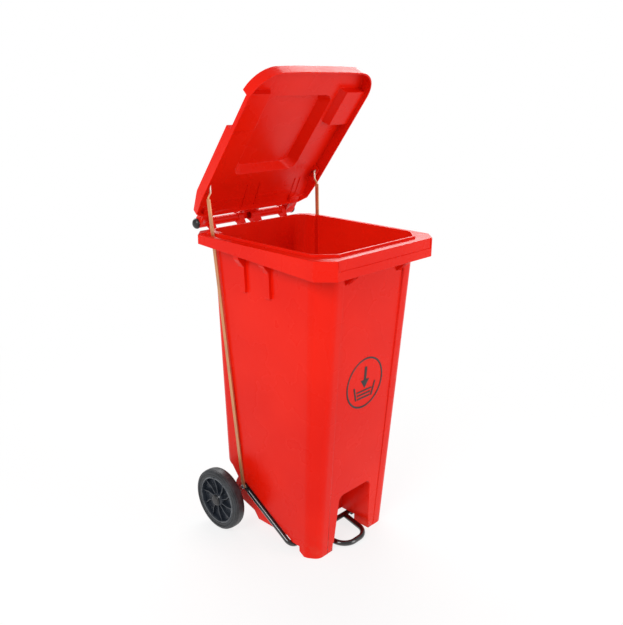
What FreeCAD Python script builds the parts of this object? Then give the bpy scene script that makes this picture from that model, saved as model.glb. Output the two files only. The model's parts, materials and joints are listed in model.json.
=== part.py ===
"""Two-wheeled pedal waste bin with a lifting lid, as a parametric document.

Millimetres, +Z up, floor at z = 0.  +X runs along the wheel axle, the bin's front faces -Y and
its hinge is at +Y.  In the sketches below y is counted back from the rim's front face; each
sub-part's Placement then moves it forward by half the overall depth, so the document's origin is
on the floor at the middle of the bin.  The bin is drawn at rest with the pedal pressed down and
the lid open.
"""
import FreeCAD, Part
import math
import os
import re
import Sketcher

doc = FreeCAD.newDocument("PedalBin")
V = FreeCAD.Vector
X_AXIS = V(1, 0, 0)
Y_AXIS = V(0, 1, 0)
Z_AXIS = V(0, 0, 1)
SIDES = (("left", -1), ("right", 1))

# ---------------------------------------------------------------- driving dimensions
DIMENSIONS = {
    # rim and mouth
    "rim_half": 240.0, "rim_depth": 532.0, "rim_top": 927.0, "rim_plate": 4.5, "rim_skin": 4.0,
    "rim_chamfer": 43.0, "rear_chamfer": 40.0, "drop_front": 53.0, "drop_rear": 26.0,
    "lip_rise": 6.0, "lip_width": 6.5, "band_step": 2.0, "band_height": 24.0,
    # tapered tub
    "top_half": 207.0, "foot_half": 164.5, "top_front": 33.5, "foot_front": 104.0,
    "rear_wall": 508.0, "wall": 4.0, "floor_gap": 28.0, "core_top": 191.0, "core_foot": 150.0,
    "corner_top_run": 49.0, "corner_top_y": 48.0, "corner_foot_run": 22.0, "corner_foot_y": 33.0,
    "rear_corner": 24.0, "corner_round": 30.0, "step_top": 185.0, "step_low": 356.0,
    "step_bend": 468.0, "channel_top": 450.0, "channel_low": 402.0, "channel_turn": 162.0,
    "channel_foot": 146.0,
    "panel_foot": 108.0, "panel_top": 130.0, "panel_sink": 6.0, "panel_foot_sink": 1.0,
    # pedal recess and feet
    "arch_half": 82.0, "arch_top": 183.0, "arch_round": 20.0, "arch_back": 212.0,
    "foot_inner": 83.0, "foot_rear": 163.0,
    # hinge, handle bars and lid
    "hinge_y": 556.0, "hinge_z": 944.0, "bar_radius": 13.0, "bar_inner": 40.0, "bar_outer": 138.0,
    "bracket_radius": 16.0, "bracket_width": 15.0, "lug_inner": 154.0, "lug_outer": 192.0,
    "pin_radius": 6.0, "pin_gap": 0.05, "head_radius": 15.5, "head_rise": 11.0,
    "lid_open": 53.5, "lid_half": 233.0, "lid_front": 534.0, "lid_rear": 38.0, "lid_skin": 3.5,
    "lid_low": 14.0, "lid_high": 21.0, "lid_corner": 86.0, "lid_draft": 5.0,
    "dome_half": 129.0, "dome_rear": 158.0, "dome_front": 440.0, "dome_rise": 25.0,
    "dome_corner": 34.0,
    "grip_inner": 152.0, "grip_rear": 345.0, "grip_front": 455.0, "grip_depth": 20.0,
    "eye_reach": 154.0, "eye_rise": 4.0, "eye_radius": 4.2, "eye_slack": 28.0,
    "eye_x": 216.0, "eye_thick": 4.0,
    # wheels and axle
    "wheel_radius": 97.0, "wheel_width": 35.5, "wheel_outer": 245.0, "axle_y": 447.5,
    "axle_radius": 10.0, "bush_radius": 13.0, "rim_radius": 75.5, "running_gap": 0.05,
    "cap_radius": 17.0, "cap_rise": 6.0,
    # pedal, arms and rods
    "pivot_y": 192.0, "pivot_z": 17.5, "tube_radius": 8.0, "tube_skin": 1.5, "arm_x": 170.0,
    "arm_reach": 236.9, "arm_open": 30.43, "arm_bend": 22.0, "eye_flat": 5.0, "eye_width": 18.0,
    "loop_radius": 8.2, "loop_front": 111.0, "loop_half": 50.0, "loop_bend": 46.0, "loop_root": 68.0,
    "rod_width": 12.0, "rod_thick": 4.0, "rod_top_x": 221.0, "hook_radius": 3.0,
    "hook_x": 210.0, "hook_tip": 222.0,
    "rivet_radius": 4.0, "clamp_x": 110.0, "clamp_width": 26.0,
    "slot_front": 388.0, "slot_rear": 472.0,
    # front label
    "label_radius": 78.0, "label_z": 530.0, "label_thick": 0.6,
}

sheet = doc.addObject("Spreadsheet::Sheet", "sheet")
for row, (alias, size) in enumerate(DIMENSIONS.items(), start=1):
    sheet.set(f"A{row}", alias)
    sheet.set(f"B{row}", str(size))
    sheet.setAlias(f"B{row}", alias)
doc.recompute()


def dim(alias):
    """A driving dimension, read back from the sheet."""
    return float(sheet.get(alias))


def bind(obj, **formulas):
    """Bind properties of an object to formulas over the sheet's names."""
    for prop, formula in formulas.items():
        obj.setExpression(prop.replace("_", "."), formula)
    return obj


def formula(text):
    """The text as an expression: every driving dimension's name gets the sheet's prefix."""
    return re.sub("[a-z_]+", lambda word: ("sheet." if word.group() in DIMENSIONS else "")
                  + word.group(), text)


# a sketch on each of these planes has its own x, y along the two axes named
PLANES = {
    "XY": (FreeCAD.Rotation(), "z", Z_AXIS),
    "XZ": (FreeCAD.Rotation(X_AXIS, 90), "y", Y_AXIS),
    "YZ": (FreeCAD.Rotation(V(1, 1, 1), 120), "x", X_AXIS),
}


def draw(sketch, corners):
    """Fill a sketch with a closed outline; corner i sits where the two formulas put it."""
    count = len(corners)
    angles = [2 * math.pi * i / count for i in range(count)]
    start = [V(math.cos(angle), math.sin(angle), 0) for angle in angles]
    for i in range(count):
        sketch.addGeometry(Part.LineSegment(start[i], start[(i + 1) % count]), False)
    for i in range(count):
        sketch.addConstraint(Sketcher.Constraint("Coincident", i, 2, (i + 1) % count, 1))
    for i, (across, up) in enumerate(corners):
        for kind, place in (("DistanceX", across), ("DistanceY", up)):
            index = sketch.addConstraint(Sketcher.Constraint(kind, i, 1, 1.0))
            sketch.setExpression(f"Constraints[{index}]", formula(place))
    return sketch


def outline(name, plane, level, corners):
    """A loose sketch on a plane, at a level along the plane's normal."""
    sketch = doc.addObject("Sketcher::SketchObject", name)
    turn, axis, normal = PLANES[plane]
    sketch.Placement = FreeCAD.Placement(V(), turn)
    sketch.setExpression(f"Placement.Base.{axis}", formula(level))
    return draw(sketch, corners)


def prism(name, plane, start, length, corners):
    """A straight extrusion of an outline along the plane's normal."""
    solid = doc.addObject("Part::Extrusion", name)
    solid.Base = outline(name + "_outline", plane, start, corners)
    solid.DirMode = "Custom"
    solid.Dir = PLANES[plane][2]
    solid.Solid = True
    solid.setExpression("LengthFwd", formula(length))
    return solid


def loft(name, sections):
    """A straight-sided solid through horizontal outlines given as (level, corners)."""
    solid = doc.addObject("Part::Loft", name)
    solid.Sections = [outline(f"{name}_{i}", "XY", level, corners)
                      for i, (level, corners) in enumerate(sections)]
    solid.Solid = True
    solid.Ruled = True
    return solid


def rod(name, radius, start, length, axis=X_AXIS):
    """A cylinder along an axis; start is three formulas."""
    solid = doc.addObject("Part::Cylinder", name)
    solid.Placement = FreeCAD.Placement(V(), FreeCAD.Rotation(Z_AXIS, axis))
    solid.setExpression("Radius", formula(radius))
    solid.setExpression("Height", formula(length))
    for letter, place in zip("xyz", start):
        solid.setExpression(f"Placement.Base.{letter}", formula(place))
    return solid


def block(name, start, size):
    """A box; start and size are three formulas each."""
    solid = doc.addObject("Part::Box", name)
    for prop, length in zip(("Length", "Width", "Height"), size):
        solid.setExpression(prop, formula(length))
    for letter, place in zip("xyz", start):
        solid.setExpression(f"Placement.Base.{letter}", formula(place))
    return solid


def fuse(name, *solids):
    """Several solids joined into one."""
    joined = doc.addObject("Part::MultiFuse", name)
    joined.Shapes = list(solids)
    return joined


def cut(name, base, *tools):
    """base with every tool taken away."""
    for i, tool in enumerate(tools):
        taken = doc.addObject("Part::Cut", name if i == len(tools) - 1 else f"{name}_step_{i}")
        taken.Base = base
        taken.Tool = tool
        base = taken
    return base


def rounded(name, base, radius, chosen):
    """base with the edges that the test picks rounded."""
    doc.recompute()
    solid = doc.addObject("Part::Fillet", name)
    solid.Base = base
    solid.Edges = [(i, radius, radius) for i, edge in enumerate(base.Shape.Edges, start=1)
                   if chosen(edge)]
    return solid


def steep(edge):
    """True for an edge that runs mostly upwards."""
    ends = [vertex.Point for vertex in edge.Vertexes]
    run = ends[-1] - ends[0]
    return len(ends) == 2 and abs(run.z) > 0.9 * run.Length


NODES = {}


def node(name, solid):
    """Keep a finished sub-part under its own label."""
    solid.Label = name
    NODES[name] = solid
    return solid


def mirrored(corners):
    """A right-hand outline, front to rear, closed by its mirror image in x."""
    return corners + [(f"-1 * ( {across} )", up) for across, up in reversed(corners)]


# ---------------------------------------------------------------- tub
def at(foot, top, level):
    """A size that grows evenly from the floor to the rim, taken at a level."""
    return f"( ( {foot} ) + ( {top} - ( {foot} ) ) * ( {level} ) / rim_top )"


def tub_ring(level, foot_side, top_side, inset):
    """The tub's eight-sided plan at a level, set in from the outside by inset."""
    side = f"{at(foot_side, top_side, level)} - {inset}"
    front = f"{at('foot_front', 'top_front', level)} + {inset}"
    rear = f"rear_wall - {inset}"
    corner_x = f"{side} - {at('corner_foot_run', 'corner_top_run', level)} + 0.6 * {inset}"
    corner_y = f"{at('corner_foot_y', 'corner_top_y', level)} - 0.6 * {inset}"
    return mirrored([(corner_x, front), (side, f"{front} + {corner_y}"),
                     (side, f"{rear} - rear_corner"), (f"{side} - rear_corner", rear)])


def tub_solid(name, low, high, inset):
    """The tub's outside (inset 0) or inside (inset wall), with its rear sides set in."""
    tapers = {}
    for part, foot, top in (("full", "foot_half", "top_half"), ("core", "core_foot", "core_top")):
        taper = loft(f"{name}_{part}_sharp", [(level, tub_ring(level, foot, top, inset))
                                              for level in (low, high)])
        radius = dim("corner_round") - (dim("wall") if inset == "wall" else 0)
        tapers[part] = rounded(f"{name}_{part}", taper, radius, steep)
    behind = prism(name + "_behind", "YZ", "-300", "600", [
        (f"channel_top - {inset}", "960"), (f"channel_low - {inset}", f"channel_turn + {inset}"),
        (f"channel_foot - {inset}", "0"), ("channel_foot", "-20"), ("700", "-20"), ("700", "960")])
    step = prism(name + "_step", "YZ", "-300", "600", [
        ("700", f"step_top + 15 + {inset}"), (f"rear_wall - {inset} + 4", f"step_top + 15 + {inset}"),
        (f"step_bend - {inset}", f"step_top - 6 + {inset}"), (f"step_low - {inset}", "floor_gap"),
        (f"step_low - {inset}", "-20"), ("700", "-20")])
    arch = rounded(name + "_arch", prism(name + "_arch_sharp", "XZ", "0", f"arch_back + {inset}", [
        (f"arch_half + {inset}", "-20"), (f"arch_half - 13 + {inset}", f"arch_top + {inset}"),
        (f"-1 * ( arch_half - 13 + {inset} )", f"arch_top + {inset}"),
        (f"-1 * ( arch_half + {inset} )", "-20")]),
        dim("arch_round") + (dim("wall") if inset == "wall" else 0),
        lambda edge: edge.CenterOfMass.z > dim("arch_top") - 5 and abs(edge.CenterOfMass.x) > 30)
    panel = loft(name + "_panel", [(level, mirrored([
        (f"{at('panel_foot', 'panel_top', level)} + {inset}",
         f"{at('foot_front', 'top_front', level)} - 30"),
        (f"{at('panel_foot', 'panel_top', level)} - 2 + {inset}",
         f"{at('foot_front', 'top_front', level)} + "
         f"{at('panel_foot_sink', 'panel_sink', level)} + {inset}"),
    ])) for level in ("-20", "rim_top - drop_front - 14")])
    sides = fuse(name + "_sides", tapers["core"], cut(name + "_proud", tapers["full"], behind))
    return cut(name, sides, step, arch, panel)


def rim_ring(inset):
    """The rim's plan, chamfered at every corner."""
    half = f"rim_half - {inset}"
    return mirrored([
        (f"rim_half - rim_chamfer - 0.4 * {inset}", inset), (half, f"rim_chamfer + 0.4 * {inset}"),
        (half, f"rim_depth - rear_chamfer - 0.4 * {inset}"),
        (f"rim_half - rear_chamfer - 0.4 * {inset}", f"rim_depth - {inset}")])


def build_tub():
    """The moulded tub in one piece: shell, rim, fins, handle bars and axle carrier."""
    outside = tub_solid("tub_outside", "0", "rim_top", "0")
    inside = tub_solid("tub_inside", "floor_gap + wall", "rim_top + 20", "wall")
    under = fuse("under_floor", block("under_middle", ("-foot_inner", "0", "-20"),
                                      ("2 * foot_inner", "700", "20 + floor_gap")),
                 block("under_rear", ("-300", "foot_rear", "-20"), ("600", "500", "20 + floor_gap")))
    skirt = prism("rim_block", "XY", "rim_top - drop_front", "drop_front", rim_ring("0"))
    hollow = prism("rim_hollow", "XY", "rim_top - drop_front - 5", "drop_front + 5 - rim_plate",
                   rim_ring("rim_skin"))
    low_edge = prism("rim_low_edge", "YZ", "-300", "600", [
        ("rim_chamfer", "rim_top - drop_front"),
        ("rim_depth - rear_chamfer", "rim_top - drop_rear"),
        ("rim_depth + 50", "rim_top - drop_rear"), ("rim_depth + 50", "rim_top - 200"),
        ("rim_chamfer", "rim_top - 200")])
    set_back = block("rim_set_back", ("-rim_half + rim_chamfer + 4", "-10",
                                      "rim_top - drop_front + band_height"),
                     ("2 * ( rim_half - rim_chamfer - 4 )", "10 + band_step", "200"))
    rim = cut("rim", skirt, hollow, low_edge, set_back)
    lip = prism("lip", "XY", "rim_top - 2", "lip_rise + 2",
                tub_ring("rim_top", "foot_half", "top_half", "( wall - lip_width )"))
    fins = []
    wall_x = at("foot_half", "top_half", "780")
    for side, sign in SIDES:
        for place in (232, 330):
            fins.append(prism(f"fin_{side}_{place}", "XZ", str(place), "20", [
                (f"{sign} * 185", "780"), (f"{sign} * ( {wall_x} + 9 )", "784"),
                (f"{sign} * ( {wall_x} + 12 )", "856"),
                (f"{sign} * ( rim_half - 8 )", "880"), (f"{sign} * ( rim_half - 3 )", "rim_top - 4"),
                (f"{sign} * 185", "rim_top - 4")]))
        for place in (113, 101):
            fins.append(prism(f"gusset_{side}_{place}", "YZ", f"{sign * place} - 2", "4", [
                ("3", "rim_top - drop_front + 2"), ("3", "rim_top - 4"), ("60", "rim_top - 4"),
                ("60", "830"), ("44", "842")]))
    handle = []
    for name, start, width in (("outer_left", "-bar_outer - bracket_width", "bracket_width"),
                               ("outer_right", "bar_outer", "bracket_width"),
                               ("inner_left", "-bar_inner - 3", "20"),
                               ("inner_right", "10", "bar_inner - 7")):
        handle.append(prism(f"bracket_{name}", "YZ", start, width, [
            ("rim_depth - 8", "902"), ("hinge_y", "hinge_z - bracket_radius"),
            ("hinge_y", "hinge_z + bracket_radius"), ("hinge_y - 11", "hinge_z + 11"),
            ("rim_depth - 1", "rim_top - 1"), ("rim_depth - 8", "rim_top - 1")]))
        handle.append(rod(f"bracket_end_{name}", "bracket_radius",
                          (start, "hinge_y", "hinge_z"), width))
    for side, start in (("left", "-bar_outer"), ("right", "bar_inner")):
        handle.append(rod(f"bar_{side}", "bar_radius", (start, "hinge_y", "hinge_z"),
                          "bar_outer - bar_inner"))
    handle.append(block("handle_web", ("-bar_inner", "hinge_y + 5", "hinge_z - 11"),
                        ("bar_inner + 12", "9", "22")))
    carrier = prism("axle_carrier", "YZ", "-148", "296", [
        ("366", "44"), ("axle_y - 14", "axle_radius + 54"), ("axle_y + 16", "axle_radius + 58"),
        ("axle_y + 21", "wheel_radius"), ("axle_y + 16", "wheel_radius + 24"), ("442", "158"),
        ("400", "130")])
    shell = fuse("tub_parts", outside, rim, lip, carrier, *fins, *handle)
    bore = rod("axle_bore", "axle_radius", ("-160", "axle_y", "wheel_radius"), "320")
    core_out = rod("centre_core", "11", ("9", "hinge_y", "hinge_z"), "24")
    pin_holes = [rod(f"pin_hole_{side}", "pin_radius",
                     (f"{sign} * bar_outer - ( 1 - {sign} ) * 8 - 3", "hinge_y", "hinge_z"), "22")
                 for side, sign in SIDES]
    slots = []
    for side, sign in SIDES:
        slots.append(prism(f"rod_slot_{side}", "XY", "rim_top - 20", "60", [
            (f"{sign} * 226", "slot_front"), (f"{sign} * 218", "slot_rear"),
            (f"{sign} * 209.5", "slot_rear"), (f"{sign} * 205", "slot_front")]))
    tub = cut("tub", shell, under, inside, bore, core_out, *pin_holes, *slots)
    return node("body_tub", tub)


# ---------------------------------------------------------------- lid, drawn shut with y forward negative
def lid_ring(inset, draft):
    """The lid's plan; the front is slightly crowned and the rear corners are cut back."""
    off = f"( {inset} + {draft} )"
    return mirrored([
        ("90", f"-lid_front + {off}"), (f"lid_half - {off}", f"-lid_front + 5 + {off}"),
        (f"lid_half - {off}", "-112"), (f"lid_half - 7 - {off}", f"-54 - {inset} * 0.5"),
        (f"lug_outer - {off}", f"-lid_rear - {inset}")])


def box_ring(half, rear, front, inset):
    """The plan of the lid's raised middle."""
    return mirrored([(f"{half} - {inset}", f"-1 * {front} + {inset}"),
                     (f"{half} - {inset}", f"-1 * {rear} - {inset}")])


def lid_solid(name, inset, low, high):
    """The lid's outside (inset 0) or the hollow under it (inset lid_skin)."""
    base = rounded(name + "_tray", loft(name + "_sides", [
        (low, lid_ring(inset, "0")), (high, lid_ring(inset, "lid_draft"))]),
        dim("lid_corner") - (0 if inset == "0" else dim("lid_skin")),
        lambda edge: steep(edge) and edge.CenterOfMass.y < -400 and abs(edge.CenterOfMass.x) > 150)
    rise = f"{high} + dome_rise"
    sloping = lambda edge: abs(edge.Vertexes[0].Z - edge.Vertexes[-1].Z) > 5
    dome = rounded(name + "_dome", loft(name + "_dome_sides", [
        (f"{high} - 3", box_ring("dome_half", "dome_rear", "dome_front", inset)),
        (rise, box_ring("( dome_half - 26 )", "( dome_rear + 14 )", "( dome_front - 14 )", inset))]),
        dim("dome_corner"), lambda edge: abs(edge.CenterOfMass.x) > 90 and sloping(edge))
    grips = [prism(f"{name}_grip_{side}", "XZ", f"-grip_front - {inset}",
                   f"grip_front - grip_rear + 2 * {inset}", [
                       (f"{sign} * ( grip_inner - {inset} )", f"lid_high - grip_depth - {inset}"),
                       (f"{sign} * 300", f"lid_high - grip_depth - {inset}"), (f"{sign} * 300", "100"),
                       (f"{sign} * ( grip_inner - 16 - {inset} )", "100"),
                       (f"{sign} * ( grip_inner - 16 - {inset} )", "lid_high")])
             for side, sign in SIDES]
    slope = prism(name + "_slope", "YZ", "-300", "600", [
        ("-118", high), ("-20", f"{high} - 22"), ("20", f"{high} - 22"), ("20", "60"), ("-118", "60")])
    return cut(name, fuse(name + "_joined", base, dome), *grips, slope)


def build_lid():
    """A hollow tray with a raised middle, hinge lugs, ribs and an eye plate for each push rod."""
    outside = lid_solid("lid_outside", "0", "-lid_low", "lid_high")
    inside = lid_solid("lid_inside", "lid_skin", "-lid_low - 5", "lid_high - lid_skin")
    tray = cut("lid_tray", outside, inside)
    extras = []
    for side, sign in SIDES:
        start = f"{sign} * ( lug_inner + lug_outer ) / 2 - ( lug_outer - lug_inner ) / 2"
        extras.append(prism(f"lug_{side}", "YZ", start, "lug_outer - lug_inner", [
            ("-60", "lid_high - 14"), ("-60", "-8"), ("-20", "-12"), ("0", "-lid_low"),
            ("0", "lid_low"), ("-12", "lid_low - 1")]))
        extras.append(rod(f"lug_end_{side}", "lid_low", (start, "0", "0"), "lug_outer - lug_inner"))
        extras.append(prism(f"eye_plate_{side}", "YZ", f"{sign} * eye_x - eye_thick / 2", "eye_thick", [
            ("-eye_reach - 14", "lid_high - 2"), ("-eye_reach - 12", "-6"),
            ("-eye_reach + eye_slack + 8", "-6"), ("-eye_reach + eye_slack + 14", "lid_high - 2")]))
    for place in (-40, 8, 158, 180):
        extras.append(prism(f"rear_rib_{place + 200}", "YZ", f"{place} - 1.2", "2.4", [
            ("-118", "lid_high - 2"), ("-118", "lid_high - 5.5"), ("-46", "lid_high - 21.9"),
            ("-46", "lid_high - 16")]))
    for side, start, length in (("left", "-163", "97"), ("right", "15", "129")):
        extras.append(prism(f"rear_rib_cross_{side}", "YZ", start, length, [
            ("-74.2", "lid_high - 9"), ("-74.2", "lid_high - 15.6"), ("-71.8", "lid_high - 15.6"),
            ("-71.8", "lid_high - 9")]))
    extras.append(prism("tongue", "YZ", "-35", "70", [
        ("-42", "lid_high - 19"), ("-42", "-7"), ("-19", "-5"), ("-19.5", "lid_high - 14")]))
    joined = fuse("lid_parts", tray, *extras)
    holes = [rod(f"lug_bore_{side}", "pin_radius + pin_gap", (f"{sign} * 173 - 30", "0", "0"), "60")
             for side, sign in SIDES]
    # the hook lies in the narrow end with the lid up and swings through the wide end on the way down
    for side, sign in SIDES:
        start = f"{sign} * eye_x - 4"
        holes.append(rod(f"eye_end_{side}", "eye_radius", (start, "-eye_reach", "eye_rise"), "8"))
        holes.append(prism(f"eye_window_{side}", "YZ", start, "8", [
            ("-eye_reach", "eye_rise - eye_radius"), ("-eye_reach", "eye_rise + eye_radius"),
            ("-eye_reach + 9", "eye_rise + eye_radius + 5.6"),
            ("-eye_reach + 16", "eye_rise + 12.9"), ("-eye_reach + 23.5", "eye_rise + 12.4"),
            ("-eye_reach + 27.8", "eye_rise + 7"), ("-eye_reach + 26.8", "eye_rise + 1.5"),
            ("-eye_reach + 20", "eye_rise - 3.4"), ("-eye_reach + 11", "eye_rise - 5")]))
    lid = cut("lid_solid", joined, *holes)
    lid.Placement = FreeCAD.Placement(V(0, dim("hinge_y"), dim("hinge_z")),
                                      FreeCAD.Rotation(X_AXIS, -dim("lid_open")))
    return node("lid", lid)


# ---------------------------------------------------------------- turned pieces
def turned(name, profile, start, side=1):
    """A PartDesign body turned about its own Z, then laid along X with its Z pointing outwards.

    profile holds (radius, distance along the axis) formulas; start is the axis point's x, y, z.
    """
    body = doc.addObject("PartDesign::Body", name)
    plane = [f for f in body.Origin.OriginFeatures if f.Role == "XZ_Plane"][0]
    sketch = body.newObject("Sketcher::SketchObject", name + "_profile")
    sketch.AttachmentSupport = [(plane, "")]
    sketch.MapMode = "FlatFace"
    draw(sketch, profile)
    turn = body.newObject("PartDesign::Revolution", name + "_turn")
    turn.Profile = sketch
    turn.ReferenceAxis = (sketch, ["V_Axis"])
    turn.Angle = 360.0
    body.Placement = FreeCAD.Placement(V(*start), FreeCAD.Rotation(Z_AXIS, V(side, 0, 0)))
    return body


def build_wheels():
    """Tyre, ribbed hub, bush, washer and end cap for each end of the axle."""
    inner = dim("wheel_outer") - dim("wheel_width")
    for side, sign in SIDES:
        start = (sign * inner, dim("axle_y"), dim("wheel_radius"))
        node(f"tyre_{side}", turned(f"tyre_{side}_body", [
            ("rim_radius", "1"), ("wheel_radius - 7", "0"), ("wheel_radius - 2", "2.5"),
            ("wheel_radius - 0.6", "7"), ("wheel_radius", "12"), ("wheel_radius", "wheel_width - 12"),
            ("wheel_radius - 0.6", "wheel_width - 8"), ("wheel_radius - 1.8", "wheel_width - 7.4"),
            ("wheel_radius - 1.8", "wheel_width - 6.2"), ("wheel_radius - 1", "wheel_width - 5.4"),
            ("wheel_radius - 2", "wheel_width - 2.5"), ("wheel_radius - 4", "wheel_width - 1.4"),
            ("wheel_radius - 5.4", "wheel_width - 1.8"), ("wheel_radius - 6.2", "wheel_width"),
            ("wheel_radius - 10.6", "wheel_width + 0.8"), ("wheel_radius - 11.6", "wheel_width - 1.6"),
            ("wheel_radius - 14.6", "wheel_width - 2"), ("wheel_radius - 15.4", "wheel_width - 0.6"),
            ("rim_radius + 2", "wheel_width - 0.6"), ("rim_radius", "wheel_width - 1.8")],
            start, sign))
        hub = turned(f"wheel_hub_{side}_body", [
            ("bush_radius", "-3"), ("bush_radius + 7", "-3"), ("bush_radius + 9", "9"),
            ("rim_radius - 12", "13"), ("rim_radius - 6", "3"), ("rim_radius", "3"),
            ("rim_radius", "wheel_width - 1.5"), ("rim_radius - 2.5", "wheel_width"),
            ("rim_radius - 5", "wheel_width - 0.5"), ("rim_radius - 8", "20"),
            ("bush_radius + 12", "17"), ("bush_radius + 9", "wheel_width - 6"),
            ("bush_radius + 5", "wheel_width"), ("bush_radius", "wheel_width")], start, sign)
        add_spokes(hub, side)
        node(f"wheel_hub_{side}", hub)
        node(f"wheel_bush_{side}", turned(f"wheel_bush_{side}_body", [
            ("axle_radius + running_gap", "-4"), ("bush_radius", "-4"),
            ("bush_radius", "wheel_width + 0.5"), ("axle_radius + running_gap", "wheel_width + 0.5")],
            start, sign))
        node(f"axle_washer_{side}", turned(f"axle_washer_{side}_body", [
            ("axle_radius", "-6.6"), ("bush_radius + 4", "-6.6"), ("bush_radius + 4", "-4.4"),
            ("axle_radius", "-4.4")], start, sign))
        node(f"axle_cap_{side}", turned(f"axle_cap_{side}_body", [
            ("0", "wheel_width + 0.9"), ("cap_radius", "wheel_width + 0.9"),
            ("cap_radius", "wheel_width + 2"), ("cap_radius - 2", "wheel_width + 4"),
            ("cap_radius - 6", "wheel_width + cap_rise - 0.6"), ("0", "wheel_width + cap_rise")],
            start, sign))
    node("axle", turned("axle_body", [
        ("0", "0"), ("axle_radius", "0"), ("axle_radius", "2 * wheel_outer + 1.8"),
        ("0", "2 * wheel_outer + 1.8")],
        (-dim("wheel_outer") - 0.9, dim("axle_y"), dim("wheel_radius"))))


def add_spokes(hub, side):
    """Ten thin webs on the hub's dished face, made once and patterned about its axis."""
    plane = [f for f in hub.Origin.OriginFeatures if f.Role == "XY_Plane"][0]
    sketch = hub.newObject("Sketcher::SketchObject", f"spoke_{side}")
    sketch.AttachmentSupport = [(plane, "")]
    sketch.MapMode = "FlatFace"
    sketch.AttachmentOffset = FreeCAD.Placement(V(0, 0, 14), FreeCAD.Rotation())
    draw(sketch, [("bush_radius + 7", "-1.6"), ("45", "3"), ("rim_radius - 6", "16"),
                  ("rim_radius - 7.5", "18.4"), ("43.5", "5.8"), ("bush_radius + 7", "1.6")])
    web = hub.newObject("PartDesign::Pad", f"web_{side}")
    web.Profile = sketch
    web.setExpression("Length", formula("wheel_width - 20"))
    doc.recompute()
    pattern = hub.newObject("PartDesign::PolarPattern", f"webs_{side}")
    pattern.Originals = [web]
    pattern.Axis = ([f for f in hub.Origin.OriginFeatures if f.Role == "Z_Axis"][0], [""])
    pattern.Angle = 360.0
    pattern.Occurrences = 10
    hub.Tip = pattern


def build_hinge_pins():
    """A shank through the lid's lug into the tub's bracket, under a domed head."""
    for side, sign in SIDES:
        start = (sign * (dim("bar_outer") + 1), dim("hinge_y"), dim("hinge_z"))
        shank = "( lug_outer - bar_outer - 0.5 )"
        dome = [(f"head_radius * {math.cos(a):.4f}", f"{shank} + head_rise * {math.sin(a):.4f}")
                for a in (math.radians(angle) for angle in range(0, 90, 15))]
        node(f"hinge_pin_{side}", turned(f"hinge_pin_{side}_body", [
            ("0", "0"), ("pin_radius", "0"), ("pin_radius", shank), *dome,
            ("0", f"{shank} + head_rise")], start, sign))


# ---------------------------------------------------------------- pedal linkage
def in_plane(angle, reach, x=0.0):
    """A point at a distance from the pedal's pivot line, at an angle above +Y."""
    turn = math.radians(angle)
    return V(x, dim("pivot_y") + reach * math.cos(turn), dim("pivot_z") + reach * math.sin(turn))


def bent_wire(points, radius):
    """Straight runs through the points joined by tangent arcs."""
    edges = []
    last = points[0]
    for before, corner, after in zip(points, points[1:], points[2:]):
        back = (before - corner).normalize()
        ahead = (after - corner).normalize()
        half = (math.pi - back.getAngle(ahead)) / 2
        trim = radius * math.tan(half)
        start = corner + back * trim
        end = corner + ahead * trim
        centre = corner + (back + ahead).normalize() * (radius / math.cos(half))
        middle = centre + (corner - centre).normalize() * radius
        edges += [Part.LineSegment(last, start).toShape(), Part.Arc(start, middle, end).toShape()]
        last = end
    edges.append(Part.LineSegment(last, points[-1]).toShape())
    return Part.Wire(edges)


def tube(points, bend, radius, skin):
    """A bent round tube; a skin of 0 makes it solid."""
    path = bent_wire(points, bend)
    heading = points[1] - points[0]

    def sweep(size):
        """The path swept by a circle."""
        ring = Part.Wire(Part.makeCircle(size, points[0], heading))
        return path.makePipeShell([ring], True, False)
    outer = sweep(radius)
    return outer.cut(sweep(radius - skin)) if skin else outer


def feature(name, shape):
    """Keep a shape built directly from solids as a sub-part."""
    solid = doc.addObject("Part::Feature", name + "_solid")
    solid.Shape = shape
    return node(name, solid)


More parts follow.
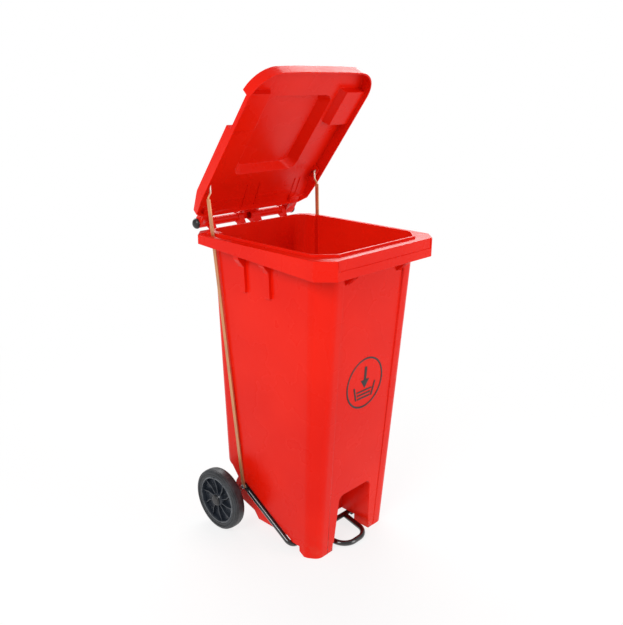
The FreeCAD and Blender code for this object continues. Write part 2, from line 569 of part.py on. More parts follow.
def build_pedal():
    """The U-shaped lever under the tub with flattened rivet ends, and the foot loop welded to it."""
    reach, rise, x = dim("arm_reach"), dim("arm_open"), dim("arm_x")
    tail = in_plane(rise, reach - 24)
    path = [V(-x, tail.y, tail.z), in_plane(rise, 0, -x), in_plane(rise, 0, x), V(x, tail.y, tail.z)]
    lever = tube(path, dim("arm_bend"), dim("tube_radius"), dim("tube_skin"))
    slope = FreeCAD.Rotation(X_AXIS, rise)
    for side, sign in SIDES:
        flat = Part.makeBox(dim("eye_flat"), 40, dim("eye_width"))
        flat.translate(V(-dim("eye_flat") / 2, reach - 40, -dim("eye_width") / 2))
        flat = flat.fuse(Part.makeCylinder(dim("eye_width") / 2, dim("eye_flat"),
                                           V(-dim("eye_flat") / 2, reach, 0), X_AXIS))
        rings = [Part.Wire(Part.makeCircle(radius, V(0, along, 0), Y_AXIS)) for radius, along in (
            (dim("tube_radius"), reach - 26), (dim("eye_flat") / 2, reach - 11))]
        neck = Part.makeLoft(rings, True)
        eye = flat.fuse(neck)
        eye = eye.cut(Part.makeCylinder(dim("rivet_radius"), 40, V(-20, reach, 0), X_AXIS))
        eye.Placement = FreeCAD.Placement(V(sign * x, dim("pivot_y"), dim("pivot_z")), slope)
        lever = lever.fuse(eye)
    feature("pedal_lever", lever.removeSplitter())

    # the loop lies nearly flat, with its front just clear of the floor
    front_y = dim("pivot_y") - dim("loop_front")
    front_z = dim("loop_radius") + 2.2
    root_z = dim("pivot_z")
    half, root = dim("loop_half"), dim("loop_root")
    path = [V(-root, dim("pivot_y"), root_z), V(-half, front_y, front_z),
            V(half, front_y, front_z), V(root, dim("pivot_y"), root_z)]
    loop = tube(path, dim("loop_bend"), dim("loop_radius"), 0)
    bar = Part.makeCylinder(dim("tube_radius"), 2 * x, V(-x, dim("pivot_y"), root_z), X_AXIS)
    feature("pedal_loop", loop.cut(bar))


def build_clamps():
    """Two bearing blocks screwed under the tub's floor, each around the lever's cross bar."""
    for side, sign in SIDES:
        start = f"{sign} * clamp_x - clamp_width / 2"
        saddle = prism(f"clamp_{side}_blank", "YZ", start, "clamp_width", [
            ("pivot_y - 12.5", "pivot_z - 7"), ("pivot_y - 7", "pivot_z - 12.5"),
            ("pivot_y + 7", "pivot_z - 12.5"), ("pivot_y + 12.5", "pivot_z - 7"),
            ("pivot_y + 12.5", "floor_gap - 4"), ("pivot_y + 28", "floor_gap - 4"),
            ("pivot_y + 28", "floor_gap"), ("pivot_y - 14", "floor_gap"),
            ("pivot_y - 14", "floor_gap - 4"), ("pivot_y - 12.5", "floor_gap - 4")])
        bore = rod(f"clamp_{side}_bore", "tube_radius + running_gap",
                   (f"{start} - 5", "pivot_y", "pivot_z"), "clamp_width + 10")
        node(f"pivot_clamp_{side}", cut(f"clamp_{side}", saddle, bore))
        screw = turned(f"clamp_screw_{side}_body", [
            ("0", "0"), ("6", "0"), ("6", "1.5"), ("4.5", "3.4"), ("0", "4")],
            (sign * dim("clamp_x"), dim("pivot_y") + 20.5, dim("floor_gap") - 4))
        screw.Placement = FreeCAD.Placement(screw.Placement.Base, FreeCAD.Rotation(X_AXIS, 180))
        node(f"clamp_screw_{side}", screw)


def build_rods():
    """A flat push rod each side, riveted to the lever and hooked into the lid's eye plate."""
    rivet_at = in_plane(dim("arm_open"), dim("arm_reach"))
    opened = math.radians(dim("lid_open"))
    reach, rise = dim("eye_reach"), dim("eye_rise")
    hook_y = dim("hinge_y") - reach * math.cos(opened) + rise * math.sin(opened)
    hook_z = dim("hinge_z") + reach * math.sin(opened) + rise * math.cos(opened)
    thick, width, hook = dim("rod_thick"), dim("rod_width"), dim("hook_radius")
    foot_x = dim("arm_x") + dim("eye_flat") / 2 + 1.6 + thick / 2
    bar_end = hook_z - 42

    def centre(z):
        """The rod's middle at a height."""
        share = (z - rivet_at.z) / (hook_z - rivet_at.z)
        return V(foot_x + (dim("rod_top_x") - foot_x) * share,
                 rivet_at.y + (hook_y - rivet_at.y) * share, z)

    for side, sign in SIDES:
        def section(z):
            """The flat bar's cross-section at a height."""
            middle = centre(z)
            corners = [V(sign * (middle.x + i * thick / 2), middle.y + j * width / 2, z)
                       for i, j in ((-1, -1), (1, -1), (1, 1), (-1, 1), (-1, -1))]
            return Part.makePolygon(corners)
        bar = Part.makeLoft([section(rivet_at.z), section(bar_end)], True, True)
        eye = Part.makeCylinder(dim("eye_width") / 2 - 1, thick,
                                V(sign * foot_x - thick / 2, rivet_at.y, rivet_at.z), X_AXIS)
        points = [centre(bar_end - 10), centre(hook_z - 38), centre(hook_z - 25), centre(hook_z),
                  centre(hook_z)]
        for point, x in zip(points[2:], (dim("hook_x"), dim("hook_x"), dim("hook_tip"))):
            point.x = x
        neck = tube([V(sign * point.x, point.y, point.z) for point in points], 5.0, hook, 0)
        shape = bar.fuse([eye, neck]).removeSplitter()
        shape = shape.cut(Part.makeCylinder(dim("rivet_radius") + dim("running_gap"), 30,
                                            V(sign * foot_x - 15, rivet_at.y, rivet_at.z), X_AXIS))
        feature(f"push_rod_{side}", shape)
        start = (sign * (dim("arm_x") - dim("eye_flat") / 2), rivet_at.y, rivet_at.z)
        node(f"rod_rivet_{side}", turned(f"rod_rivet_{side}_body", [
            ("0", "-2.4"), ("4.4", "-2.4"), ("6.6", "-0.9"), ("6.6", "0"), ("rivet_radius", "0"),
            ("rivet_radius", "eye_flat + rod_thick + 2.2"), ("7", "eye_flat + rod_thick + 2.2"),
            ("7", "eye_flat + rod_thick + 3.2"), ("4.6", "eye_flat + rod_thick + 5"),
            ("0", "eye_flat + rod_thick + 5.4")], start, sign))
        node(f"rod_washer_{side}", turned(f"rod_washer_{side}_body", [
            ("rivet_radius", "eye_flat"), ("8", "eye_flat"), ("8", "eye_flat + 1.3"),
            ("rivet_radius", "eye_flat + 1.3")], start, sign))


def build_label():
    """A thin round label lying on the sunk front panel."""
    foot_y = dim("foot_front") + dim("panel_foot_sink")
    top_y = dim("top_front") + dim("panel_sink")
    lean = math.atan2(foot_y - top_y, dim("rim_top"))
    face_y = foot_y + (top_y - foot_y) * dim("label_z") / dim("rim_top")
    disc = doc.addObject("Part::Cylinder", "label_disc")
    bind(disc, Radius="sheet.label_radius", Height="sheet.label_thick")
    disc.Placement = FreeCAD.Placement(V(0, face_y, dim("label_z")),
                                       FreeCAD.Rotation(X_AXIS, 90 + math.degrees(lean)))
    node("front_label", disc)


build_tub()
build_lid()
build_hinge_pins()
build_wheels()
build_pedal()
build_clamps()
build_rods()
build_label()
doc.recompute()

# ---------------------------------------------------------------- place, check and write
overall_depth = dim("hinge_y") + dim("bracket_radius")
forward = FreeCAD.Placement(V(0, -overall_depth / 2, 0), FreeCAD.Rotation())
for solid in NODES.values():
    solid.Placement = forward.multiply(solid.Placement)
doc.recompute()

for obj in doc.Objects:
    if "Invalid" in obj.State or "Error" in obj.State:
        raise RuntimeError(f"{obj.Name} did not recompute: {obj.State}")
os.makedirs("parts", exist_ok=True)
for name, solid in NODES.items():
    shape = solid.Shape
    if shape.isNull() or not shape.isValid() or not shape.Solids:
        raise RuntimeError(f"{name} is not a valid solid")
    shape.exportStep(f"parts/{name}.step")
    box = shape.optimalBoundingBox()
    print(f"{name:18s} {shape.Volume / 1000:9.1f} cm3  x {box.XMin:7.1f} {box.XMax:7.1f}"
          f"  y {box.YMin:7.1f} {box.YMax:7.1f}  z {box.ZMin:7.1f} {box.ZMax:7.1f}")
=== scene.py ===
"""The look of a two-wheeled pedal bin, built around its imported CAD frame.

Metres, +Z up, the bin's front towards -Y.  CAD pieces whose shape is right keep their mesh and get a
procedural material; the tub, the lid, the tyres, the hubs, the clamps and the label get detailed
meshes of their own, made in the CAD's frame, that stand for the plain solids.
"""

import json
import math

import bmesh
import bpy
from mathutils import Matrix, Vector


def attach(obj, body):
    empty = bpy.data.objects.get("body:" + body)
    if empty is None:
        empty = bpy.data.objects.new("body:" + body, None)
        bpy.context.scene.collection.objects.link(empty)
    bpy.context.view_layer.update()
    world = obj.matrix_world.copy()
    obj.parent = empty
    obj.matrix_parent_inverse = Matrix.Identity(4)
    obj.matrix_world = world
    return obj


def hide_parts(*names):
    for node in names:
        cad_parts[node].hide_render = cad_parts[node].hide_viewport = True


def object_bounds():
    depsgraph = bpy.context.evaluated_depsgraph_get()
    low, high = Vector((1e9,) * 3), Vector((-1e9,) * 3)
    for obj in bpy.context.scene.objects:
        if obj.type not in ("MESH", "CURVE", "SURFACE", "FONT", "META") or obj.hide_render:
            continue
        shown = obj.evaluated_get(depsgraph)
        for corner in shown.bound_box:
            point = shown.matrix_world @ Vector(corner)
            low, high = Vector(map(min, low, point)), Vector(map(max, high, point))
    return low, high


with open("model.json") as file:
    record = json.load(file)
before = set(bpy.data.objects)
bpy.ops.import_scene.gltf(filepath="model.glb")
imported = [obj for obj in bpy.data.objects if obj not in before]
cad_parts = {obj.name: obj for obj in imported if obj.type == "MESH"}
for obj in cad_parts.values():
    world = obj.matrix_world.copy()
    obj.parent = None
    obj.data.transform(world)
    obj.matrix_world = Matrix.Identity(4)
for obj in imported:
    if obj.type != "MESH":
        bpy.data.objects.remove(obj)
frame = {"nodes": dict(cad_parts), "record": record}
cad_low, cad_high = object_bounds()

SIDES = (("left", -1), ("right", 1))
WHEEL_CENTRE = (0.0, 0.1615, 0.097)


# ---------------------------------------------------------------- node trees
class Shader:
    """A material under construction, with short calls for the nodes used here."""

    def __init__(self, name, **sockets):
        self.material = bpy.data.materials.new(name)
        self.material.use_nodes = True
        self.tree = self.material.node_tree
        self.surface = self.tree.nodes["Principled BSDF"]
        for socket, value in sockets.items():
            self.surface.inputs[socket.replace("_", " ")].default_value = value
        self.place = self.node("ShaderNodeTexCoord").outputs["Object"]

    def node(self, kind, **settings):
        made = self.tree.nodes.new(kind)
        for key, value in settings.items():
            setattr(made, key, value)
        return made

    def feed(self, socket, value):
        """Link an output to a socket, or set the socket to a plain value."""
        if isinstance(value, bpy.types.NodeSocket):
            self.tree.links.new(value, socket)
        else:
            socket.default_value = value

    def stretched(self, scale, turn=(0, 0, 0)):
        """The object coordinates scaled and turned, for streaks."""
        mapping = self.node("ShaderNodeMapping")
        self.feed(mapping.inputs["Vector"], self.place)
        mapping.inputs["Scale"].default_value = scale
        mapping.inputs["Rotation"].default_value = turn
        return mapping.outputs["Vector"]

    def noise(self, scale, detail=3.0, rough=0.5, place=None):
        made = self.node("ShaderNodeTexNoise")
        self.feed(made.inputs["Vector"], place or self.place)
        self.feed(made.inputs["Scale"], scale)
        self.feed(made.inputs["Detail"], detail)
        self.feed(made.inputs["Roughness"], rough)
        return made.outputs["Fac"]

    def cells(self, scale):
        made = self.node("ShaderNodeTexVoronoi")
        self.feed(made.inputs["Vector"], self.place)
        self.feed(made.inputs["Scale"], scale)
        return made.outputs["Distance"]

    def span(self, value, low, high, out_low=0.0, out_high=1.0):
        """value from low..high carried to out_low..out_high, held at the ends."""
        made = self.node("ShaderNodeMapRange", interpolation_type="SMOOTHSTEP")
        for socket, given in zip(made.inputs, (value, low, high, out_low, out_high)):
            self.feed(socket, given)
        return made.outputs["Result"]

    def math(self, operation, first, second=0.0):
        made = self.node("ShaderNodeMath", operation=operation)
        self.feed(made.inputs[0], first)
        self.feed(made.inputs[1], second)
        return made.outputs[0]

    def mix(self, share, first, second):
        made = self.node("ShaderNodeMix", data_type="RGBA")
        self.feed(made.inputs["Factor"], share)
        self.feed(made.inputs["A"], first if isinstance(first, bpy.types.NodeSocket) else (*first, 1))
        self.feed(made.inputs["B"], second if isinstance(second, bpy.types.NodeSocket) else (*second, 1))
        return made.outputs["Result"]

    def height(self):
        """Height above the floor at rest, in metres."""
        made = self.node("ShaderNodeSeparateXYZ")
        self.feed(made.inputs[0], self.place)
        return made.outputs["Z"]

    def radius_from(self, centre):
        """Distance in metres from a line along X through a point."""
        apart = self.node("ShaderNodeVectorMath", operation="SUBTRACT")
        self.feed(apart.inputs[0], self.place)
        apart.inputs[1].default_value = centre
        flat = self.node("ShaderNodeVectorMath", operation="MULTIPLY")
        self.feed(flat.inputs[0], apart.outputs["Vector"])
        flat.inputs[1].default_value = (0, 1, 1)
        length = self.node("ShaderNodeVectorMath", operation="LENGTH")
        self.feed(length.inputs[0], flat.outputs["Vector"])
        return length.outputs["Value"]

    def bumps(self, *layers):
        """Bump layers of (height, strength, distance), coarse first."""
        normal = None
        for height, strength, distance in layers:
            made = self.node("ShaderNodeBump")
            self.feed(made.inputs["Height"], height)
            self.feed(made.inputs["Strength"], strength)
            self.feed(made.inputs["Distance"], distance)
            if normal is not None:
                self.feed(made.inputs["Normal"], normal)
            normal = made.outputs["Normal"]
        self.feed(self.surface.inputs["Normal"], normal)

    def finish(self, colour, roughness, metallic=None):
        self.feed(self.surface.inputs["Base Color"], colour)
        self.feed(self.surface.inputs["Roughness"], roughness)
        if metallic is not None:
            self.feed(self.surface.inputs["Metallic"], metallic)
        return self.material


def red_plastic(name, deep, bright):
    """Glossy moulded polyethylene: uneven pigment, soft sink marks, faint scuffs, dust near the floor."""
    s = Shader(name, IOR=1.46, Specular_IOR_Level=0.14)
    cloud = s.noise(3.0, 2.0)
    fleck = s.noise(160.0, 1.0)
    scratch = s.noise(26.0, 5.0, 0.55, s.stretched((30.0, 30.0, 1.2), (0.12, 0.06, 0.0)))
    scuff = s.math("MULTIPLY", s.span(scratch, 0.62, 0.78), s.span(s.noise(6.0), 0.52, 0.72))
    colour = s.mix(s.span(cloud, 0.3, 0.7), deep, bright)
    colour = s.mix(s.span(fleck, 0.62, 0.8, 0.0, 0.10), colour, (0.90, 0.06, 0.03))
    colour = s.mix(s.math("MULTIPLY", scuff, 0.07), colour, (0.90, 0.20, 0.12))
    dusty = s.math("MULTIPLY", s.span(s.height(), 0.12, 0.0), s.span(s.noise(38.0, 5.0), 0.4, 0.85))
    colour = s.mix(s.math("MULTIPLY", dusty, 0.22), colour, (0.46, 0.13, 0.08))
    rough = s.math("ADD", s.span(s.noise(9.0, 3.0), 0.25, 0.75, 0.22, 0.33),
                   s.math("MULTIPLY", s.math("ADD", scuff, dusty), 0.14))
    s.bumps((s.noise(4.5, 0.0), 0.12, 0.003), (s.noise(40.0, 0.0), 0.03, 0.0004))
    return s.finish(colour, rough)


def dark_plastic(name, shade, worn, gloss):
    """Black moulded plastic or rubber-like resin with a fine grain and greyed wear."""
    s = Shader(name, IOR=1.47)
    grain = s.noise(900.0, 2.0)
    wear = s.math("MULTIPLY", s.span(s.noise(55.0, 6.0, 0.7), 0.56, 0.72), 0.5)
    colour = s.mix(s.span(s.noise(12.0), 0.35, 0.65), shade, [1.5 * part for part in shade])
    colour = s.mix(wear, colour, worn)
    rough = s.span(s.noise(30.0, 4.0), 0.25, 0.75, gloss, gloss + 0.16)
    s.bumps((s.noise(45.0, 2.0), 0.15, 0.0006), (grain, 0.18, 0.0003))
    return s.finish(colour, rough)


def rubber():
    """Solid tyre rubber: charcoal with fine rings, chalky bloom, pitted grain and floor dust."""
    s = Shader("tyre_rubber", IOR=1.48)
    radius = s.radius_from(WHEEL_CENTRE)
    rings = s.math("SINE", s.math("MULTIPLY", radius, 5200.0))
    bloom = s.span(s.noise(24.0, 5.0, 0.6), 0.4, 0.75)
    colour = s.mix(bloom, (0.014, 0.016, 0.019), (0.032, 0.036, 0.042))
    worn = s.math("MULTIPLY", s.span(rings, 0.3, 1.0), s.span(s.noise(70.0, 4.0), 0.48, 0.75))
    colour = s.mix(s.math("MULTIPLY", worn, 0.4), colour, (0.11, 0.12, 0.13))
    dust = s.math("MULTIPLY", s.span(s.noise(150.0, 4.0), 0.52, 0.8), 0.35)
    colour = s.mix(dust, colour, (0.085, 0.088, 0.09))
    pits = s.cells(520.0)
    s.bumps((s.noise(90.0, 3.0), 0.3, 0.0006), (rings, 0.25, 0.0003), (pits, 0.22, 0.0004))
    return s.finish(colour, s.span(bloom, 0.0, 1.0, 0.42, 0.60))


def hub_resin():
    """Blue-black moulded hub: turning rings from the mould, and a painted highlight lightening the outer
    lip.
    """
    s = Shader("hub_plastic", IOR=1.5)
    radius = s.radius_from(WHEEL_CENTRE)
    rings = s.math("SINE", s.math("MULTIPLY", radius, 2600.0))
    colour = s.mix(s.span(s.noise(14.0), 0.35, 0.65), (0.012, 0.016, 0.024), (0.024, 0.030, 0.040))
    # painted highlight: a lighter ring of colour at the outer lip, broken up by noise, stands in for the
    # light caught there
    painted_lip_highlight = s.math("MULTIPLY", s.span(radius, 0.0690, 0.0715), s.span(s.noise(60.0, 4.0), 0.3, 0.6))
    colour = s.mix(s.math("MULTIPLY", painted_lip_highlight, 0.6), colour, (0.16, 0.17, 0.18))
    wear = s.math("MULTIPLY", s.span(s.noise(55.0, 6.0, 0.7), 0.56, 0.72), 0.35)
    colour = s.mix(wear, colour, (0.09, 0.10, 0.11))
    s.bumps((s.noise(45.0, 2.0), 0.12, 0.0006), (rings, 0.10, 0.0003), (s.noise(900.0), 0.12, 0.0003))
    return s.finish(colour, s.span(s.noise(30.0, 4.0), 0.25, 0.75, 0.24, 0.40))


def painted_black(name):
    """Stove-enamelled tube: deep gloss, orange peel, a few chips down to grey primer and steel."""
    s = Shader(name, IOR=1.55, Coat_Weight=0.7, Coat_Roughness=0.08)
    chip = s.math("MULTIPLY", s.span(s.noise(130.0, 5.0, 0.65), 0.68, 0.71),
                  s.span(s.noise(14.0), 0.5, 0.66))
    colour = s.mix(s.span(s.noise(40.0), 0.3, 0.7), (0.004, 0.004, 0.005), (0.010, 0.010, 0.011))
    colour = s.mix(s.math("MULTIPLY", chip, 0.6), colour, (0.16, 0.15, 0.14))
    s.bumps((s.noise(260.0, 2.0), 0.08, 0.0003), (s.math("MULTIPLY", chip, -1.0), 0.3, 0.0002))
    return s.finish(colour, s.span(s.noise(18.0, 4.0), 0.3, 0.7, 0.14, 0.26))


def plated_steel(name, shade, tarnish, lengthways, gloss, metallic=0.95, clean_above=None):
    """Plated or drawn steel: fine streaks along its length and patchy tarnish, less of it high up."""
    s = Shader(name, IOR=2.4)
    streak = s.noise(60.0, 5.0, 0.6, s.stretched(lengthways))
    stain = s.span(s.noise(26.0, 5.0, 0.62), 0.42, 0.74)
    colour = s.mix(s.span(streak, 0.3, 0.7, 0.0, 0.45), shade, [0.72 * part for part in shade])
    colour = s.mix(s.math("MULTIPLY", stain, 0.55), colour, tarnish)
    if clean_above is not None:
        clean = s.math("MULTIPLY", s.span(s.height(), clean_above, clean_above + 0.02), 0.75)
        colour = s.mix(clean, colour, (0.82, 0.76, 0.68))
    rough = s.math("ADD", s.span(streak, 0.3, 0.7, gloss, gloss + 0.14), s.math("MULTIPLY", stain, 0.14))
    s.bumps((s.noise(170.0, 3.0), 0.10, 0.0004), (streak, 0.12, 0.0002))
    return s.finish(colour, rough, s.span(stain, 0.0, 1.0, metallic, metallic - 0.2))


def print_ink():
    """Screen-printed black: slightly uneven, with pinholes where the film is thin."""
    s = Shader("label_print", IOR=1.46)
    thin = s.span(s.noise(620.0, 3.0), 0.66, 0.8)
    colour = s.mix(s.span(s.noise(30.0), 0.3, 0.7), (0.006, 0.005, 0.005), (0.014, 0.012, 0.012))
    colour = s.mix(s.math("MULTIPLY", thin, 0.4), colour, (0.30, 0.03, 0.02))
    s.bumps((s.noise(400.0, 2.0), 0.1, 0.0002))
    return s.finish(colour, s.span(s.noise(60.0), 0.3, 0.7, 0.32, 0.5))


RED = red_plastic("red_plastic", (0.72, 0.0075, 0.001), (0.80, 0.013, 0.003))
BLACK = dark_plastic("black_plastic", (0.010, 0.010, 0.011), (0.09, 0.09, 0.09), 0.30)
HUB = hub_resin()
BUSH = dark_plastic("bush_plastic", (0.40, 0.40, 0.37), (0.22, 0.21, 0.19), 0.38)
RUBBER = rubber()
ENAMEL = painted_black("black_paint")
ZINC = plated_steel("zinc_steel", (0.58, 0.59, 0.60), (0.30, 0.29, 0.27), (1.0, 30.0, 30.0), 0.26)
TAN = plated_steel("tan_steel", (0.66, 0.28, 0.10), (0.34, 0.12, 0.04), (30.0, 30.0, 1.0), 0.34,
                   metallic=0.6, clean_above=1.035)
INK = print_ink()

FINISHES = {
    "black_plastic": BLACK, "tyre_rubber": RUBBER, "hub_plastic": HUB, "bush_plastic": BUSH,
    "zinc_steel": ZINC, "black_paint": ENAMEL, "tan_steel": TAN, "label_print": INK,
    "red_plastic": RED,
}
slot_of = {part["node"]: part["material_slot"] for part in frame["record"]["subparts"]}
body_of = {node: body for body, nodes in frame["record"]["behaviour"]["bodies"].items()
           for node in nodes}
for name, obj in frame["nodes"].items():
    for place in obj.material_slots:
        place.material = FINISHES[slot_of[name]]


# ---------------------------------------------------------------- mesh helpers
WELD_GAP, FLAT_TURN = 2e-5, 1.0
CROWDED_WIDTHS = 3.0


def keep(name, bm, node, material):
    """A finished mesh, held inside the CAD's box, that stands for a CAD node and rides on its body."""
    for vert in bm.verts:
        vert.co = [min(max(value, least), most) for value, least, most in zip(vert.co, cad_low, cad_high)]
    mesh = bpy.data.meshes.new(name)
    bm.to_mesh(mesh)
    bm.free()
    mesh.materials.append(material)
    for face in mesh.polygons:
        face.material_index = 0
        face.use_smooth = True
    piece = bpy.data.objects.new(name, mesh)
    bpy.context.scene.collection.objects.link(piece)
    level = piece.modifiers.new("flat faces stay flat", "WEIGHTED_NORMAL")
    level.keep_sharp = True
    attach(piece, body_of[node])
    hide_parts(node)
    return piece


def solid_of(node, convex=True):
    """A clean copy of a CAD node's mesh, its flat faces joined, and left in convex pieces if asked."""
    bm = bmesh.new()
    bm.from_mesh(frame["nodes"][node].data)
    bmesh.ops.remove_doubles(bm, verts=bm.verts, dist=WELD_GAP)
    bmesh.ops.dissolve_limit(bm, angle_limit=math.radians(FLAT_TURN), verts=bm.verts, edges=bm.edges)
    if convex:
        bmesh.ops.connect_verts_concave(bm, faces=[face for face in bm.faces if len(face.verts) > 4])
    return bm


def bevel(bm, edges, width, segments):
    """Round chosen edges."""
    bmesh.ops.bevel(bm, geom=edges, offset=width, offset_type="OFFSET", segments=segments,
                    profile=0.5, affect="EDGES", clamp_overlap=False, loop_slide=True)


def turns(edge, angle):
    """True for an edge between two faces that meet at more than an angle in degrees."""
    return len(edge.link_faces) == 2 and edge.calc_face_angle(0) > math.radians(angle)


def soften(bm, width, sharper_than):
    """Round every edge that turns by more than an angle, as a mould does.

    Where several edges crowd together on less than a few widths they stay crisp instead.
    """
    turning = {edge for edge in bm.edges if turns(edge, sharper_than)}
    crowded = {vert for vert in bm.verts if sum(edge in turning for edge in vert.link_edges) > 2
               and min(edge.calc_length() for edge in vert.link_edges) < CROWDED_WIDTHS * width}
    crisp = {edge for edge in turning if crowded.intersection(edge.verts)}
    for edge in crisp:
        edge.smooth = False
    bevel(bm, list(turning - crisp), width, 2)
    bmesh.ops.recalc_face_normals(bm, faces=bm.faces)
    return bm


# ---------------------------------------------------------------- tub, lid, wheels and clamps
RIDGE_ROUND, TUB_ROUND, LID_ROUND = 0.0028, 0.0009, 0.0012
WHEEL_ROUND, CLAMP_ROUND = 0.0005, 0.0006
MOULD_TURN, TYRE_TURN, HUB_TURN = 24, 20, 30
RIDGE_LENGTH, RIDGE_INNER, RIDGE_OUTER, RIDGE_BACK = 0.4, 0.10, 0.14, -0.16


def is_ridge(edge):
    """True for the long edges that run down both sides of the front panel."""
    middle = (edge.verts[0].co + edge.verts[1].co) / 2
    beside_panel = RIDGE_INNER < abs(middle.x) < RIDGE_OUTER and middle.y < RIDGE_BACK
    return edge.calc_length() > RIDGE_LENGTH and beside_panel and turns(edge, MOULD_TURN)


def tub_mesh():
    """The tub with broad rounding down the front panel's two ridges and fine rounding elsewhere."""
    bm = solid_of("body_tub")
    bevel(bm, [edge for edge in bm.edges if is_ridge(edge)], RIDGE_ROUND, 3)
    return soften(bm, TUB_ROUND, MOULD_TURN)


keep("tub_shell", tub_mesh(), "body_tub", RED)
keep("lid_shell", soften(solid_of("lid", convex=False), LID_ROUND, MOULD_TURN), "lid", RED)
for side, _ in SIDES:
    for piece_name, node, width, angle, material in (
            ("tyre_mesh", "tyre", WHEEL_ROUND, TYRE_TURN, RUBBER),
            ("hub_mesh", "wheel_hub", WHEEL_ROUND, HUB_TURN, HUB),
            ("clamp_mesh", "pivot_clamp", CLAMP_ROUND, MOULD_TURN, BLACK)):
        rounded = soften(solid_of(f"{node}_{side}"), width, angle)
        keep(f"{piece_name}_{side}", rounded, f"{node}_{side}", material)


# ---------------------------------------------------------------- front label
RING_LINE, RING_STEPS = 0.005, 96
SHAFT, SHAFT_TOP, HEAD, HEAD_TOP, HEAD_TIP = 0.005, 0.050, 0.018, 0.010, -0.016
TRAY_TOP, TRAY_FLOOR, TRAY_TOP_HALF, TRAY_FLOOR_HALF, TRAY_WALL = -0.006, -0.048, 0.042, 0.030, 0.006
SLATS, SLAT_HEIGHT = ((-0.026, 0.032), (-0.037, 0.029), (-0.048, 0.0262)), 0.0045


def build_label():
    """A printed ring around an arrow that points down into an open slatted tray."""
    disc = frame["nodes"]["front_label"]
    rim = [disc.matrix_world @ vert.co for vert in disc.data.vertices]
    across = Vector((1, 0, 0))
    up = (max(rim, key=lambda p: p.z) - min(rim, key=lambda p: p.z)).normalized()
    out = across.cross(up)
    middle = sum(rim, Vector()) / len(rim)
    low = min((p - middle).dot(out) for p in rim)
    high = max((p - middle).dot(out) for p in rim)
    radius = max((p - middle).dot(across) for p in rim)
    bm = bmesh.new()

    def corner(x, y, level):
        return bm.verts.new(middle + across * x + up * y + out * level)

    def raised(points):
        """A flat shape given by its corners in metres, as thick as the label."""
        back, front = ([corner(x, y, level) for x, y in points] for level in (low, high))
        bm.faces.new(front)
        bm.faces.new(back[::-1])
        for i in range(len(points)):
            j = (i + 1) % len(points)
            bm.faces.new((back[i], back[j], front[j], front[i]))

    turn = [2 * math.pi * i / RING_STEPS for i in range(RING_STEPS)]
    loops = [[corner(size * math.sin(angle), size * math.cos(angle), level) for angle in turn]
             for size, level in ((radius, high), (radius, low), (radius - RING_LINE, low),
                                 (radius - RING_LINE, high))]
    for this, after in zip(loops, loops[1:] + loops[:1]):
        for i in range(RING_STEPS):
            j = (i + 1) % RING_STEPS
            bm.faces.new((this[i], this[j], after[j], after[i]))
    raised([(-SHAFT, SHAFT_TOP), (-SHAFT, HEAD_TOP), (-HEAD, HEAD_TOP), (0.0, HEAD_TIP),
            (HEAD, HEAD_TOP), (SHAFT, HEAD_TOP), (SHAFT, SHAFT_TOP)])
    for side, sign in SIDES:
        raised([(sign * (TRAY_TOP_HALF + TRAY_WALL), TRAY_TOP), (sign * TRAY_TOP_HALF, TRAY_TOP),
                (sign * TRAY_FLOOR_HALF, TRAY_FLOOR),
                (sign * (TRAY_FLOOR_HALF + TRAY_WALL), TRAY_FLOOR)])
    for level, half in SLATS:
        raised([(-half, level), (half, level), (half, level + SLAT_HEIGHT),
                (-half, level + SLAT_HEIGHT)])
    bmesh.ops.recalc_face_normals(bm, faces=bm.faces)
    keep("label_print_mark", bm, "front_label", INK)


build_label()


# ---------------------------------------------------------------- floor, light and camera
FLOOR_RADIUS, FLOOR_DROP = 40.0, 0.0005
SHADOW_NEAR, SHADOW_FAR, SHADOW_GLOW = 0.3, 2.2, 0.80
BACKDROP_LIGHT = 0.46
CAMERA_PLACE = (-1.5262, -1.4641, 1.3605)
CAMERA_YAW, CAMERA_PITCH, CAMERA_ROLL = 46.385, 17.607, 0.312
CAMERA_LENS, SENSOR = 43.28, 36.0


def softbox(name, place, target, size, power):
    """A rectangular area light aimed at a point."""
    light = bpy.data.lights.new(name, "AREA")
    light.shape = "RECTANGLE"
    light.size, light.size_y = size
    light.energy = power
    lamp = bpy.data.objects.new(name, light)
    bpy.context.scene.collection.objects.link(lamp)
    lamp.location = place
    lamp.rotation_mode = "QUATERNION"
    lamp.rotation_quaternion = (Vector(target) - Vector(place)).to_track_quat("-Z", "Y")


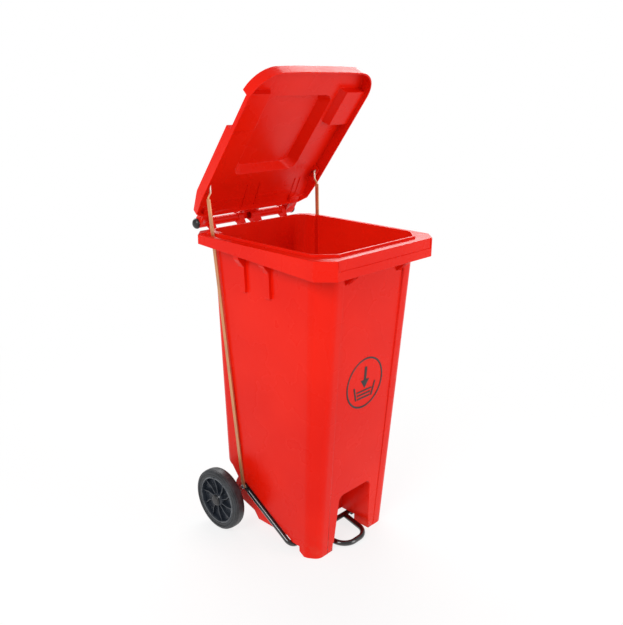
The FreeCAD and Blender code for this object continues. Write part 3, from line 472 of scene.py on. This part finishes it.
def build_floor():
    """A pale round floor, faintly shadowed near the bin, that fades into the white backdrop."""
    bm = bmesh.new()
    bmesh.ops.create_circle(bm, cap_ends=True, segments=96, radius=FLOOR_RADIUS)
    mesh = bpy.data.meshes.new("studio_floor")
    bm.to_mesh(mesh)
    bm.free()
    floor = bpy.data.objects.new("studio_floor", mesh)
    bpy.context.scene.collection.objects.link(floor)
    floor.location.z = -FLOOR_DROP
    s = Shader("pale_floor")
    paper = s.finish(s.mix(s.noise(60.0, 4.0), (0.88, 0.88, 0.88), (0.92, 0.92, 0.92)), 0.8)
    glow = s.node("ShaderNodeEmission")
    blend = s.node("ShaderNodeMixShader")
    away = s.node("ShaderNodeVectorMath", operation="LENGTH")
    s.feed(away.inputs[0], s.place)
    s.feed(blend.inputs["Fac"], s.span(away.outputs["Value"], SHADOW_NEAR, SHADOW_FAR, SHADOW_GLOW, 1.0))
    s.feed(blend.inputs[1], s.surface.outputs["BSDF"])
    s.feed(blend.inputs[2], glow.outputs["Emission"])
    s.feed(s.tree.nodes["Material Output"].inputs["Surface"], blend.outputs["Shader"])
    mesh.materials.append(paper)


def build_backdrop(brightness):
    """White to look at, and a weaker even light on the bin."""
    world = bpy.data.worlds.new("white_studio")
    world.use_nodes = True
    tree = world.node_tree
    even = tree.nodes["Background"]
    even.inputs["Color"].default_value = (1, 1, 1, 1)
    even.inputs["Strength"].default_value = brightness
    seen = tree.nodes.new("ShaderNodeBackground")
    seen.inputs["Color"].default_value = (1, 1, 1, 1)
    path = tree.nodes.new("ShaderNodeLightPath")
    choose = tree.nodes.new("ShaderNodeMixShader")
    tree.links.new(path.outputs["Is Camera Ray"], choose.inputs["Fac"])
    tree.links.new(even.outputs[0], choose.inputs[1])
    tree.links.new(seen.outputs[0], choose.inputs[2])
    tree.links.new(choose.outputs[0], tree.nodes["World Output"].inputs["Surface"])
    bpy.context.scene.world = world


def build_camera():
    """The camera at the photograph's viewing angle."""
    data = bpy.data.cameras.new("camera")
    data.lens = CAMERA_LENS
    data.sensor_width = SENSOR
    data.clip_start, data.clip_end = 0.05, 200.0
    camera = bpy.data.objects.new("camera", data)
    bpy.context.scene.collection.objects.link(camera)
    yaw, pitch, roll = (math.radians(angle) for angle in (CAMERA_YAW, CAMERA_PITCH, CAMERA_ROLL))
    turn = (Matrix.Rotation(-yaw, 4, "Z") @ Matrix.Rotation(math.pi / 2 - pitch, 4, "X")
            @ Matrix.Rotation(roll, 4, "Z"))
    camera.matrix_world = Matrix.Translation(CAMERA_PLACE) @ turn
    bpy.context.scene.camera = camera


build_floor()
build_backdrop(BACKDROP_LIGHT)
softbox("key_light", (-2.9, -0.9, 2.7), (0, 0, 0.6), (1.6, 1.6), 70)
softbox("fill_light", (1.4, -3.2, 1.5), (0, 0, 0.6), (1.4, 2.2), 44)
softbox("back_light", (1.4, 1.7, 2.3), (0, 0, 0.92), (2.6, 1.6), 62)
build_camera()
bpy.context.scene.view_settings.view_transform = "Standard"
